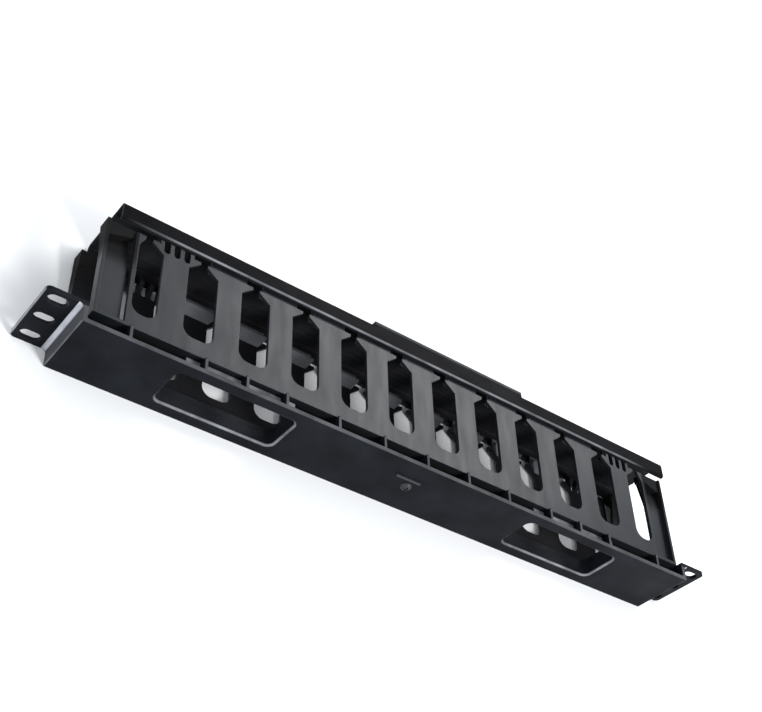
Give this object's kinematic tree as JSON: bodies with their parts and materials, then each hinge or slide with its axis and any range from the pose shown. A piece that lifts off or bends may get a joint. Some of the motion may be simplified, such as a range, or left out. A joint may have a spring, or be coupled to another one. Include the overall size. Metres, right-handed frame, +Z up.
{
  "type": "horizontal cable manager",
  "caption": "Horizontal rack cable manager: a duct of T-headed fingers on a rear panel with slotted rack ears, closed by a sliding clip-fit front cover.",
  "frame": {"origin": "middle of the mounting plane, where the ears' rear faces meet the rack rails", "axes": "+X right seen from the front, +Y to the rear, into the rack, +Z up"},
  "size_m": [0.4826, 0.0985, 0.0436],
  "materials": {
    "rear_panel": "satin moulded",
    "finger_duct": "satin moulded",
    "front_cover": "satin moulded",
    "centre_screw": "black zinc"
  },
  "bodies": {
    "base": {"rear_panel": "rear_panel", "finger_duct": "finger_duct", "centre_screw": "centre_screw"},
    "cover": {"front_cover": "front_cover"}
  },
  "joints": [
    {"name": "cover_slide", "type": "slide", "parent": "base", "child": "cover", "axis": [1, 0, 0], "range_m": [-0.023, 0.033]}
  ]
}
